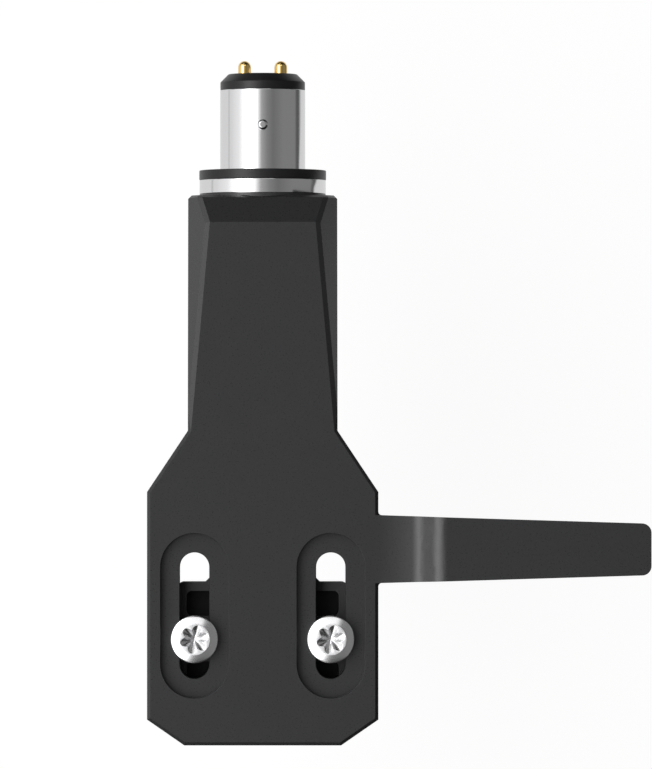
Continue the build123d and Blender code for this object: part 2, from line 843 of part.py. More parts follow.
cantilever_end = lever_length + cantilever_overhang
with BuildPart() as cantilever:
    with BuildSketch(needle.offset(-sleeve_length / 2)):
        Circle(cantilever_radius)
        Circle(cantilever_radius - cantilever_wall, mode=Mode.SUBTRACT)
    extrude(amount=cantilever_end + sleeve_length / 2)
    with BuildSketch(Plane(origin=(0, stylus_y, stylus_z + diamond_height))):
        Circle(diamond_radius)
    extrude(amount=cut_over, both=True, mode=Mode.SUBTRACT)
save(cantilever, "cantilever")

with BuildPart() as stylus_tip:
    with BuildSketch(Plane(origin=(0, stylus_y, stylus_z), x_dir=(1, 0, 0), z_dir=(0, -1, 0))):
        with BuildLine():
            Polyline(
                (0, 0),
                (diamond_radius, diamond_cone),
                (diamond_radius, diamond_height + cantilever_radius),
                (0, diamond_height + cantilever_radius),
                close=True,
            )
        make_face()
    revolve(axis=Axis((0, stylus_y, 0), (0, 0, 1)))
save(stylus_tip, "stylus_tip")
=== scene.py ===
import logging
import math
from collections.abc import Callable
from dataclasses import dataclass
from enum import Enum

import bmesh
import bpy
from mathutils import Matrix, Vector


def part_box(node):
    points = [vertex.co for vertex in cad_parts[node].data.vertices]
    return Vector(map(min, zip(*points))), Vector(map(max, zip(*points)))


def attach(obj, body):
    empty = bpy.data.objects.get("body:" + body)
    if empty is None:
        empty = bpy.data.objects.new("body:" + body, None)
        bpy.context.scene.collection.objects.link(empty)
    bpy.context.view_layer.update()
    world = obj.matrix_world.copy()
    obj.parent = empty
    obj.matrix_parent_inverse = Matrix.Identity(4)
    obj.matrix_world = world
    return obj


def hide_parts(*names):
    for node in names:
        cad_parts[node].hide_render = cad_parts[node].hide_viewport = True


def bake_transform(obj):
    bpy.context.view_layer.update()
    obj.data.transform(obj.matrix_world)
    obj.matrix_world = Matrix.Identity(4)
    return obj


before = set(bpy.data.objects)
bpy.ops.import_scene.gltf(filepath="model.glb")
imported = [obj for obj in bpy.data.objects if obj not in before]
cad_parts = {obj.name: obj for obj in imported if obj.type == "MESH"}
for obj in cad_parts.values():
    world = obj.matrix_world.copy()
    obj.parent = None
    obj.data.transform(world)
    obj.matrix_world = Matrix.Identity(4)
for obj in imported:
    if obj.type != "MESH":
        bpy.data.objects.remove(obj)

log = logging.getLogger("headshell")
MM = 0.001
PAINTED_SHADE_HEIGHTS = (-15.0, 15.0)  # mm, the lowest and highest place of a finish's painted shade bands
BROAD_CELLS = (0.35, 0.35, 0.35)  # cells to a millimetre of a finish's broad pattern
BROAD_SHARE = 0.6  # its share in the colour's mottle
FINE_SEED = 4.0  # how far the fine pattern is from the broad one
Pair = tuple[float, float]
Triple = tuple[float, float, float]
Quad = tuple[float, float, float, float]


class Facing(Enum):
    """The way that a turned piece's own axis points in the frame."""

    REARWARD = (0.0, 1.0, 0.0)
    FORWARD = (0.0, -1.0, 0.0)
    UP = (0.0, 0.0, 1.0)


class Grain(Enum):
    """The kind of fine relief on a surface."""

    SPECKLED = "speckled"
    TURNED = "turned"
    DRAWN = "drawn"


# Shader maths


def maths(operation: str, swapped: bool = False) -> Callable[..., "Signal"]:
    """An operator that adds a Math node to the bench of a signal.

    Args:
        operation: The node's operation.
        swapped: Whether the signal is the right value instead of the left one.

    Returns:
        The operator. It takes the signal and the other value, a Signal or a number.
    """

    def combine(signal: "Signal", other: object = 0.0) -> "Signal":
        """Add the node and return its result."""
        first, second = (other, signal) if swapped else (signal, other)
        return signal.bench.add("ShaderNodeMath", {"operation": operation}, {0: first, 1: second})

    return combine


class Signal:
    """A shader value that adds its Math nodes when it is used in an expression.

    The larger of two values is most, the smaller is least, and size is the value without its
    sign. The bearing is the angle of a point with this value across and the other one along.
    """

    def __init__(self, bench: "Bench", socket: bpy.types.NodeSocket | None) -> None:
        """Hold a socket and the bench that its nodes are made on."""
        self.bench = bench
        self.socket = socket

    __add__ = maths("ADD")
    __radd__ = maths("ADD", True)
    __sub__ = maths("SUBTRACT")
    __rsub__ = maths("SUBTRACT", True)
    __mul__ = maths("MULTIPLY")
    __rmul__ = maths("MULTIPLY", True)
    __truediv__ = maths("DIVIDE")
    most = maths("MAXIMUM")
    least = maths("MINIMUM")
    size = maths("ABSOLUTE")
    bearing = maths("ARCTAN2")


class Bench:
    """A node tree under construction."""

    def __init__(self, tree: bpy.types.NodeTree) -> None:
        """Empty the tree of its default nodes."""
        self.tree = tree
        tree.nodes.clear()

    def add(self, kind: str, settings: dict, sockets: dict, output: object = 0) -> Signal:
        """Add any node.

        Args:
            kind: The node's type.
            settings: Its settings. "stops" sets a ramp's stops as (place, grey) pairs.
            sockets: Values or links by socket name or number.
            output: The name or number of the output that is returned.

        Returns:
            One output of the node.
        """
        node = self.tree.nodes.new(kind)
        for name, value in settings.items():
            if name == "stops":
                self._stops(node, value)
            else:
                setattr(node, name, value)
        for key, value in sockets.items():
            target = node.inputs[key]
            if isinstance(value, Signal):
                self.tree.links.new(value.socket, target)
            else:
                target.default_value = value
        return Signal(self, node.outputs[output] if len(node.outputs) else None)

    @staticmethod
    def _stops(node: bpy.types.Node, stops: list[Pair]) -> None:
        """Set a ramp's stops from (place, grey) pairs."""
        ramp = node.color_ramp
        while len(ramp.elements) < len(stops):
            ramp.elements.new(1.0)
        for element, (place, grey) in zip(ramp.elements, stops):
            element.position = place
            element.color = opaque(grey)

    def place(self, axis: str) -> Signal:
        """The object's own X, Y or Z, in metres."""
        spot = self.add("ShaderNodeTexCoord", {}, {}, "Object")
        return self.add("ShaderNodeSeparateXYZ", {}, {0: spot}, axis)

    def ray(self, kind: str) -> Signal:
        """1 for the rays of a kind, 0 for others."""
        return self.add("ShaderNodeLightPath", {}, {}, f"Is {kind} Ray")

    def noise(self, scale: Triple, detail: float, seed: float) -> Signal:
        """A noise pattern in object space.

        Args:
            scale: Cells to a millimetre along x, y and z.
            detail: Octaves of finer noise.
            seed: Moves the pattern, so that two finishes differ.

        Returns:
            The noise, from 0 to 1.
        """
        spot = self.add("ShaderNodeTexCoord", {}, {}, "Object")
        cells = tuple(s / MM for s in scale)
        spread = self.add(
            "ShaderNodeMapping", {}, {0: spot, "Location": (seed, seed, seed), "Scale": cells}
        )
        return self.add(
            "ShaderNodeTexNoise", {}, {"Vector": spread, "Scale": 1.0, "Detail": detail}
        )

    def rise(self, value: Signal, low: float, high: float) -> Signal:
        """A soft step, from 0 below the low value to 1 above the high one."""
        return self.add(
            "ShaderNodeMapRange", {"interpolation_type": "SMOOTHSTEP"},
            {"Value": value, "From Min": low, "From Max": high},
        )

    def ramp(self, value: Signal, low: float, high: float, stops: tuple[Pair, ...]) -> Signal:
        """A grey that follows a value.

        Args:
            value: The value.
            low: The value at the ramp's start.
            high: The value at its end.
            stops: Pairs of a value and its grey, in order.

        Returns:
            The grey.
        """
        share = (value - low) / (high - low)
        spread = [((place - low) / (high - low), grey) for place, grey in stops]
        return self.add("ShaderNodeValToRGB", {"stops": spread}, {0: share})

    def blend(self, amount: object, first: object, second: object) -> Signal:
        """Mix two colours by an amount."""
        return self.add(
            "ShaderNodeMix", {"data_type": "RGBA"}, {0: amount, 6: first, 7: second}, 2
        )


def blank(name: str) -> tuple[bpy.types.Material, Bench]:
    """A new material and the bench that its nodes are made on."""
    made = bpy.data.materials.new(name)
    made.use_nodes = True
    return made, Bench(made.node_tree)


def opaque(grey: float) -> tuple[float, ...]:
    """A grey as a node's colour."""
    return (grey, grey, grey, 1.0)


@dataclass(frozen=True)
class Finish:
    """A surface: its colour, how it shines, its fine relief, and what changes with height.

    Mottle is the colour's spread as a share, roughness_spread that of the roughness, and relief
    the depth of the grain in mm. Painted shade bands are pairs of a height in mm and the share of
    the colour there, which darken the colour at some heights to stand in for shade. Above the
    level, a height in mm, the surface is rougher by matte.
    """

    name: str
    colour: Triple
    roughness: float
    metallic: float = 0.0
    specular: float = 0.5
    mottle: float = 0.08
    roughness_spread: float = 0.06
    grain: Grain = Grain.SPECKLED
    grain_density: float = 6.0
    relief: float = 0.004
    seed: float = 1.0
    level: float = 0.0
    matte: float = 0.0
    painted_shade_bands: tuple[Pair, ...] = ()

    def _grain_scale(self) -> Triple:
        """Cells to a millimetre along x, y and z for this kind of grain."""
        d = self.grain_density
        return {
            Grain.SPECKLED: (d, d, d),
            Grain.TURNED: (0.3, d, 0.3),
            Grain.DRAWN: (d, 0.25, d),
        }[self.grain]

    def material(self) -> bpy.types.Material:
        """The finish as a material, made once and then reused."""
        if self.name in bpy.data.materials:
            return bpy.data.materials[self.name]
        made, bench = blank(self.name)
        broad = bench.noise(BROAD_CELLS, 2.0, self.seed)
        fine = bench.noise(self._grain_scale(), 3.0, self.seed + FINE_SEED)
        shade = broad * BROAD_SHARE + fine * (1 - BROAD_SHARE)
        low = tuple(c * (1 - self.mottle) for c in self.colour) + (1.0,)
        high = tuple(min(1.0, c * (1 + self.mottle)) for c in self.colour) + (1.0,)
        colour = bench.blend(shade, low, high)
        rough = fine * (2 * self.roughness_spread) + (self.roughness - self.roughness_spread)
        # Painted shade: the colour is darkened at the heights that the bands give, to stand in for
        # shade.
        if self.painted_shade_bands:
            share = bench.ramp(bench.place("Z") / MM, *PAINTED_SHADE_HEIGHTS, self.painted_shade_bands)
            colour = bench.blend(share, opaque(0.0), colour)
        if self.matte:
            above = bench.rise(bench.place("Z") / MM, self.level - 0.01, self.level)
            rough = rough + above * self.matte
        bump = bench.add(
            "ShaderNodeBump", {}, {"Strength": 1.0, "Distance": self.relief * MM, "Height": fine}
        )
        surface = bench.add(
            "ShaderNodeBsdfPrincipled",
            {},
            {
                "Base Color": colour,
                "Roughness": rough,
                "Metallic": self.metallic,
                "Specular IOR Level": self.specular,
                "Normal": bump,
            },
        )
        bench.add("ShaderNodeOutputMaterial", {}, {0: surface})
        return made

    def wear(self, mesh: bpy.types.Mesh) -> None:
        """Give a mesh this finish alone."""
        mesh.materials.clear()
        mesh.materials.append(self.material())


COATING = Finish(
    "black_coating", (0.023, 0.023, 0.024), 0.29, mottle=0.08,
    grain_density=7.0, relief=0.003, seed=2.0,
)
CHROME = Finish(
    "bright_chrome", (0.78, 0.78, 0.79), 0.12, 1.0, mottle=0.02, roughness_spread=0.03,
    grain=Grain.TURNED, grain_density=5.0, relief=0.0003, seed=3.0,
)
SCREW_PLATE = Finish(
    "screw_plating", (0.84, 0.84, 0.85), 0.22, 1.0, mottle=0.02, roughness_spread=0.03,
    grain_density=4.0, relief=0.0002, seed=4.0, level=8.045, matte=0.26,
)
GASKET_RUBBER = Finish(
    "gasket_rubber", (0.012, 0.012, 0.013), 0.38, specular=0.32, mottle=0.14,
    grain_density=5.0, relief=0.006, seed=5.0,
)
CARRIER_PLASTIC = Finish(
    "carrier_plastic", (0.011, 0.011, 0.012), 0.36, specular=0.32, mottle=0.1,
    grain_density=6.0, relief=0.003, seed=6.0,
)
GOLD = Finish(
    "gold_plate", (0.94, 0.66, 0.24), 0.09, 1.0, mottle=0.04, roughness_spread=0.03,
    grain=Grain.TURNED, grain_density=5.0, relief=0.0004, seed=7.0,
)
CLIP_GOLD = Finish(
    "clip_plate", (0.88, 0.62, 0.26), 0.3, 1.0, mottle=0.06, grain_density=4.0,
    relief=0.0015, seed=8.0,
)
# Painted shade: between 2.5 and 4.7 mm the housing is darkened to 0.16 of its colour, and below
# 2.4 mm to 0.65, standing in for the shade inside its cored ears and pockets seen through the
# slots.
HOUSING_PLASTIC = Finish(
    "housing_plastic", (0.031, 0.031, 0.032), 0.45, specular=0.15, mottle=0.1,
    grain_density=5.0, relief=0.006, seed=9.0,
    painted_shade_bands=((2.4, 0.65), (2.5, 0.16), (4.7, 0.16), (4.8, 1.0)),
)
BLOCK_PLASTIC = Finish(
    "block_plastic", (0.03, 0.03, 0.031), 0.45, mottle=0.1, grain_density=6.0,
    relief=0.003, seed=10.0,
)
GRIP_PLASTIC = Finish(
    "grip_plastic", (0.02, 0.02, 0.021), 0.4, mottle=0.1, grain_density=5.0,
    relief=0.006, seed=11.0,
)
IRON = Finish(
    "soft_iron", (0.42, 0.41, 0.4), 0.4, 1.0, mottle=0.1, grain=Grain.DRAWN, relief=0.002,
    seed=12.0,
)
SINTERED = Finish(
    "sintered_magnet", (0.3, 0.3, 0.31), 0.45, 1.0, mottle=0.15, grain_density=14.0,
    relief=0.003, seed=13.0,
)
ALUMINIUM = Finish(
    "drawn_aluminium", (0.8, 0.8, 0.81), 0.3, 1.0, mottle=0.04, grain=Grain.DRAWN,
    grain_density=30.0, relief=0.0006, seed=14.0,
)
BRASS = Finish(
    "milled_brass", (0.78, 0.56, 0.24), 0.3, 1.0, mottle=0.06, grain_density=8.0,
    relief=0.001, seed=15.0,
)
SOFT_RUBBER = Finish(
    "soft_rubber", (0.03, 0.03, 0.03), 0.7, mottle=0.12, grain_density=12.0, relief=0.002,
    seed=16.0,
)
ENAMEL = Finish(
    "enamelled_copper", (0.72, 0.26, 0.1), 0.25, 1.0, mottle=0.08, grain_density=10.0,
    relief=0.0006, seed=17.0,
)
DIAMOND = Finish(
    "ground_diamond", (0.82, 0.83, 0.84), 0.08, specular=1.0, mottle=0.03,
    roughness_spread=0.02, grain_density=30.0, relief=0.0002, seed=18.0,
)


def insulation(name: str, colour: Triple, seed: float) -> Finish:
    """The soft insulation of one lead."""
    return Finish(name, colour, 0.45, mottle=0.07, grain_density=5.0, relief=0.002, seed=seed)


# Making meshes


def linked(name: str, data: bpy.types.ID) -> bpy.types.Object:
    """A new object in the scene for a mesh, curve, lamp or camera."""
    made = bpy.data.objects.new(name, data)
    bpy.context.scene.collection.objects.link(made)
    return made


def meshed(name: str, built: bmesh.types.BMesh) -> bpy.types.Mesh:
    """Turn built faces into a mesh, and free them."""
    mesh = bpy.data.meshes.new(name)
    built.to_mesh(mesh)
    built.free()
    return mesh


def rounded(outline: list[Pair], radius: float, closed: bool, steps: int = 4) -> list[Pair]:
    """Round the corners of an outline.

    Args:
        outline: The outline's corners.
        radius: How far from each corner the rounding starts, less on short sides.
        closed: Whether the last corner joins the first.
        steps: Points on each rounding, less one.

    Returns:
        The rounded outline.
    """
    result = []
    count = len(outline)
    for index, corner in enumerate(outline):
        if not closed and index in (0, count - 1):
            result.append(corner)
            continue
        here = Vector(corner)
        before = Vector(outline[index - 1]) - here
        after = Vector(outline[(index + 1) % count]) - here
        reach = min(radius, before.length * 0.45, after.length * 0.45)
        first = here + before.normalized() * reach
        last = here + after.normalized() * reach
        for step in range(steps + 1):
            t = step / steps
            point = first * (1 - t) ** 2 + here * (2 * t * (1 - t)) + last * t**2
            result.append((point.x, point.y))
    return result


def standing(origin: Triple, facing: Vector) -> Matrix:
    """The matrix that stands a piece made along z on an origin, facing a way. Sizes are in mm."""
    way = facing.normalized()
    across = Vector((1.0, 0.0, 0.0))
    up = way.cross(across).normalized()
    turn = Matrix((across, up, way)).transposed().to_4x4()
    return Matrix.Scale(MM, 4) @ Matrix.Translation(origin) @ turn


def settle(
    name: str, built: bmesh.types.BMesh, finish: Finish, angle: float = 35.0
) -> bpy.types.Object:
    """Turn built faces into a finished object.

    Args:
        name: The piece's name.
        built: The faces, in metres in the frame.
        finish: What it is dressed in.
        angle: Edges that turn by more degrees than this stay sharp.

    Returns:
        The object, at the origin.
    """
    bmesh.ops.remove_doubles(built, verts=built.verts, dist=1e-8)
    bmesh.ops.recalc_face_normals(built, faces=built.faces)
    mesh = meshed(name, built)
    mesh.shade_smooth()
    mesh.set_sharp_from_angle(angle=math.radians(angle))
    finish.wear(mesh)
    return linked(name, mesh)


def bridge(built: bmesh.types.BMesh, low: list, high: list) -> None:
    """Join two rings of vertices, either of which may be one point."""
    count = max(len(low), len(high))
    if count == 1:
        return
    for step in range(count):
        after = (step + 1) % count
        if len(low) == 1:
            built.faces.new((low[0], high[after], high[step]))
        elif len(high) == 1:
            built.faces.new((low[step], low[after], high[0]))
        else:
            built.faces.new((low[step], low[after], high[after], high[step]))


def lathe(
    name: str, finish: Finish, place: Matrix, outline: list[Pair], ease: float, segments: int,
    closed: bool = False, steps: int = 4, angle: float = 50.0,
) -> bpy.types.Object:
    """A piece turned about an axis, with eased corners.

    Args:
        name: The piece's name.
        finish: What it is dressed in.
        place: The matrix that puts it in the frame.
        outline: Pairs of a radius and a height in mm, which end on the axis where not closed.
        ease: Where the rounding of a corner starts, in mm from it, or 0 for sharp corners.
        segments: Faces round the axis.
        closed: Whether the outline is a closed loop, as of a ring or tube.
        steps: Points on each rounding, less one.
        angle: Edges that turn by more degrees than this stay sharp.

    Returns:
        The object, at the origin.
    """
    built = bmesh.new()
    rings = []
    for radius, height in rounded(outline, ease, closed, steps) if ease else outline:
        count = 1 if radius < 1e-6 else segments
        bearings = [math.tau * step / count for step in range(count)]
        reach = 0.0 if count == 1 else radius
        spots = [Vector((reach * math.cos(b), reach * math.sin(b), height)) for b in bearings]
        rings.append([built.verts.new(place @ spot) for spot in spots])
    for low, high in zip(rings, rings[1:] + rings[:1] if closed else rings[1:]):
        bridge(built, low, high)
    return settle(name, built, finish, angle)


def softened(
    node_name: str, width: float, finish: Finish, angle: float = 12.0
) -> bpy.types.Object:
    """A copy of a CAD node whose edges are eased, dressed in a finish.

    Args:
        node_name: The CAD node.
        width: The width of the eased edge, in mm.
        finish: What it is dressed in.
        angle: Edges that turn by more degrees than this are eased.

    Returns:
        The object, at the origin.
    """
    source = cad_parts[node_name]
    built = bmesh.new()
    built.from_mesh(source.data)
    bmesh.ops.remove_doubles(built, verts=built.verts, dist=2e-7)
    bmesh.ops.dissolve_limit(
        built, angle_limit=math.radians(0.8), verts=built.verts, edges=built.edges
    )
    mesh = meshed(node_name + "_raw", built)
    rough_piece = linked(node_name + "_raw", mesh)
    easing = rough_piece.modifiers.new("easing", "BEVEL")
    easing.width = width * MM
    easing.segments = 2
    easing.limit_method = "ANGLE"
    easing.angle_limit = math.radians(angle)
    easing.use_clamp_overlap = True
    flat_faces = rough_piece.modifiers.new("flat_faces", "WEIGHTED_NORMAL")
    flat_faces.mode = "FACE_AREA"
    flat_faces.weight = 100
    flat_faces.thresh = 0.01
    mesh.shade_smooth()
    eased = evaluated(rough_piece)
    finish.wear(eased)
    piece = linked(node_name + "_finished", eased)
    bpy.data.objects.remove(rough_piece)
    return piece


def evaluated(piece: bpy.types.Object) -> bpy.types.Mesh:
    """A plain mesh of an object with its modifiers applied."""
    bpy.context.view_layer.update()
    graph = bpy.context.evaluated_depsgraph_get()
    return bpy.data.meshes.new_from_object(
        piece.evaluated_get(graph), preserve_all_data_layers=True, depsgraph=graph
    )


# Geometry Nodes


class Growth:
    """A Geometry Nodes tree with named inputs, run once on a piece and then applied."""

    def __init__(self, name: str, **inputs: str) -> None:
        """Make a tree. Every tree has a material input named Finish.

        Args:
            name: The tree's name.
            inputs: For a type of socket, the names of the inputs of that type.
        """
        self.tree = bpy.data.node_groups.new(name, "GeometryNodeTree")
        self.bench = Bench(self.tree)
        for kind, labels in {**inputs, "Material": "Finish"}.items():
            for label in labels.split():
                self.tree.interface.new_socket(
                    label, in_out="INPUT", socket_type="NodeSocket" + kind
                )
        self.tree.interface.new_socket("Result", in_out="OUTPUT", socket_type="NodeSocketGeometry")
        self.entry = self.tree.nodes.new("NodeGroupInput")

    def add(self, kind: str, sockets: dict, output: object = 0, **settings: str) -> Signal:
        """Add a geometry node.

        Args:
            kind: The node's type, without its prefix.
            sockets: Values or links by socket name. A string is one of the tree's inputs.
            output: The name or number of the output that is returned.
            settings: The node's settings.

        Returns:
            One output of the node.
        """
        filled = {
            key: Signal(self.bench, self.entry.outputs[value]) if isinstance(value, str) else value
            for key, value in sockets.items()
        }
        return self.bench.add("GeometryNode" + kind, settings, filled, output)

    def close(self, shape: Signal) -> None:
        """End the tree in Realize Instances and Set Material."""
        real = self.add("RealizeInstances", {"Geometry": shape})
        dressed = self.add("SetMaterial", {"Geometry": real, "Material": "Finish"})
        self.bench.add("NodeGroupOutput", {}, {0: dressed})

    def run(
        self, name: str, finish: Finish, values: dict[str, object], angle: float = 35.0
    ) -> bpy.types.Object:
        """Run the tree.

        Args:
            name: The piece's name.
            finish: What it is dressed in.
            values: A value for each other named input.
            angle: Edges that turn by more degrees than this stay sharp.

        Returns:
            A plain mesh object at the origin.
        """
        seed = linked(name + "_seed", bpy.data.meshes.new(name + "_seed"))
        modifier = seed.modifiers.new("growth", "NODES")
        modifier.node_group = self.tree
        values = {**values, "Finish": finish.material()}
        for item in self.tree.interface.items_tree:
            if item.item_type == "SOCKET" and item.in_out == "INPUT":
                modifier[item.identifier] = values[item.name]
        mesh = evaluated(seed)
        mesh.name = name
        mesh.shade_smooth()
        mesh.set_sharp_from_angle(angle=math.radians(angle))
        piece = linked(name, mesh)
        bpy.data.objects.remove(seed)
        return piece


def array_growth() -> Growth:
    """The tree that sets a piece out in rows and columns."""
    growth = Growth(
        "set_out", Object="Piece", Int="Columns Rows", Float="Width Depth", Vector="Centre Turn"
    )
    grid = growth.add(
        "MeshGrid",
        {"Size X": "Width", "Size Y": "Depth", "Vertices X": "Columns", "Vertices Y": "Rows"},
    )
    stood = growth.add(
        "Transform", {"Geometry": grid, "Translation": "Centre", "Rotation": "Turn"}
    )
    source = growth.add("ObjectInfo", {"Object": "Piece"}, "Geometry")
    growth.close(growth.add("InstanceOnPoints", {"Points": stood, "Instance": source}))
    return growth


def thread_growth() -> Growth:
    """The tree that winds a screw thread."""
    growth = Growth("screw_thread", Float="Turns Radius Length Ridge", Vector="Foot")
    spiral = growth.add(
        "CurveSpiral",
        {
            "Resolution": 28, "Rotations": "Turns", "Start Radius": "Radius",
            "End Radius": "Radius", "Height": "Length",
        },
    )
    ridge = growth.add("CurvePrimitiveCircle", {"Resolution": 4, "Radius": "Ridge"})
    wound = growth.add("CurveToMesh", {"Curve": spiral, "Profile Curve": ridge, "Fill Caps": True})
    growth.close(growth.add("Transform", {"Geometry": wound, "Translation": "Foot"}))
    return growth


def winding_growth() -> Growth:
    """The tree that lays a coil's turns side by side along Y."""
    growth = Growth(
        "coil_winding", Int="Turns", Float="Pitch Width Height Corner Wire", Vector="First"
    )
    pitch = Signal(growth.bench, growth.entry.outputs["Pitch"])
    step = growth.bench.add("ShaderNodeCombineXYZ", {}, {"Y": pitch})
    row = growth.add(
        "MeshLine", {"Count": "Turns", "Start Location": "First", "Offset": step}, mode="OFFSET"
    )
    loop = growth.add("CurvePrimitiveQuadrilateral", {"Width": "Width", "Height": "Height"})
    round_loop = growth.add(
        "FilletCurve", {"Curve": loop, "Radius": "Corner", "Count": 4, "Limit Radius": True},
        mode="POLY",
    )
    strand = growth.add("CurvePrimitiveCircle", {"Resolution": 6, "Radius": "Wire"})
    turn = growth.add("CurveToMesh", {"Curve": round_loop, "Profile Curve": strand})
    upright = growth.add("Transform", {"Geometry": turn, "Rotation": (math.pi / 2, 0.0, 0.0)})
    growth.close(growth.add("InstanceOnPoints", {"Points": row, "Instance": upright}))
    return growth


def four_of(
    growth: Growth, one: bpy.types.Object, name: str, spacing: Pair, level: float,
    finish: Finish, angle: float = 45.0,
) -> bpy.types.Object:
    """Set four of a piece out at the corners of the plug or the terminals.

    Args:
        growth: The tree that sets pieces out.
        one: The piece, which is used up.
        name: The name of the four.
        spacing: How far apart they stand across and in height, in mm.
        level: The height of their middle, in mm.
        finish: What they are dressed in.
        angle: Edges that turn by more degrees than this stay sharp.

    Returns:
        The four as one object.
    """
    four = growth.run(
        name, finish,
        {
            "Piece": one, "Columns": 2, "Rows": 2,
            "Width": spacing[0] * MM, "Depth": spacing[1] * MM,
            "Centre": (0.0, 0.0, level * MM), "Turn": (math.pi / 2, 0.0, 0.0),
        },
        angle,
    )
    bpy.data.objects.remove(one)
    return four


# The object's sub-assemblies


@dataclass
class Connector:
    """The bayonet plug: barrel, peg, gasket, contact carrier and pins. Sizes are in mm."""

    barrel_radius: float = 4.0
    barrel_length: float = 7.56
    bore: float = 3.2
    flange_radius: float = 5.94
    flange_thickness: float = 1.33
    gasket_radius: float = 5.97
    gasket_thickness: float = 0.9
    spigot_radius: float = 3.6
    spigot_length: float = 4.6
    cap_radius: float = 3.985
    cap_rim: float = 0.74
    cap_chamfer: float = 0.76
    plug_rear: float = -4.44
    pin_radius: float = 0.6
    shank_radius: float = 0.45
    pin_reach: float = 1.17
    pin_shoulder: float = 2.0
    pin_tail: float = -8.44
    nose_steps: int = 8
    spacing: float = 3.4
    peg_place: float = 4.17
    peg_radius: float = 0.5
    peg_foot: float = 3.4
    peg_top: float = 4.55
    peg_chamfer: float = 0.2

    def __post_init__(self) -> None:
        """Stand the plug on the frame's origin, facing rearward."""
        self.axis = standing((0.0, 0.0, 0.0), Vector(Facing.REARWARD.value))

    def barrel(self) -> bpy.types.Object:
        """The plated barrel with its flange and spigot."""
        face = -self.gasket_thickness
        collar = face - self.flange_thickness
        outline = [
            (self.bore, collar - self.spigot_length),
            (self.spigot_radius, collar - self.spigot_length), (self.spigot_radius, collar),
            (self.flange_radius, collar), (self.flange_radius, face), (self.barrel_radius, face),
            (self.barrel_radius, self.barrel_length), (self.bore, self.barrel_length),
        ]
        return lathe("barrel", CHROME, self.axis, outline, 0.07, 192, True)

    def gasket(self) -> bpy.types.Object:
        """The rubber ring that the socket seats on."""
        outline = [
            (self.barrel_radius, -self.gasket_thickness),
            (self.gasket_radius, -self.gasket_thickness), (self.gasket_radius, 0.0),
            (self.barrel_radius, 0.0),
        ]
        return lathe("gasket_ring", GASKET_RUBBER, self.axis, outline, 0.09, 192, True)

    def cap(self) -> bpy.types.Object:
        """The moulded carrier over the barrel's end."""
        rim = self.barrel_length + self.cap_rim
        top = rim + self.cap_chamfer
        outline = [
            (0.0, self.plug_rear), (self.bore, self.plug_rear), (self.bore, self.barrel_length),
            (self.cap_radius, self.barrel_length), (self.cap_radius, rim),
            (self.cap_radius - self.cap_chamfer, top), (0.0, top),
        ]
        return lathe("carrier", CARRIER_PLASTIC, self.axis, outline, 0.07, 160, angle=30.0)

    def peg(self) -> bpy.types.Object:
        """The locating peg."""
        outline = [
            (0.0, self.peg_foot), (self.peg_radius, self.peg_foot),
            (self.peg_radius, self.peg_top - self.peg_chamfer),
            (self.peg_radius - self.peg_chamfer, self.peg_top), (0.0, self.peg_top),
        ]
        place = standing((0.0, self.peg_place, 0.0), Vector(Facing.UP.value))
        return lathe("peg", CHROME, place, outline, 0.05, 48, angle=40.0)

    def pins(self, growth: Growth) -> bpy.types.Object:
        """The four gold pins, one pin set out by Geometry Nodes."""
        tip = self.barrel_length + self.cap_rim + self.cap_chamfer + self.pin_reach
        nose = tip - self.pin_radius
        shoulder = tip - self.pin_reach - self.pin_shoulder
        outline = [
            (0.0, self.pin_tail), (self.shank_radius, self.pin_tail),
            (self.shank_radius, shoulder), (self.pin_radius, shoulder),
        ]
        for step in range(self.nose_steps + 1):
            bearing = math.pi / 2 * step / self.nose_steps
            along = nose + self.pin_radius * math.sin(bearing)
            outline.append((self.pin_radius * math.cos(bearing), along))
        outline[-1] = (0.0, tip)
        one = lathe("one_pin", GOLD, self.axis, outline, 0.0, 40)
        spread = (self.spacing, self.spacing)
        return four_of(growth, one, "contact_pins", spread, 0.0, GOLD, 50.0)

    def build(self, growth: Growth) -> None:
        """Make every piece of the plug and set it on the headshell."""
        report(self.barrel(), "headshell", ["bayonet_barrel"])
        report(self.peg(), "headshell", ["locating_peg"])
        report(self.gasket(), "headshell", ["gasket"])
        report(self.cap(), "headshell", ["contact_cap"])
        report(self.pins(growth), "headshell", numbered("contact_pin"))


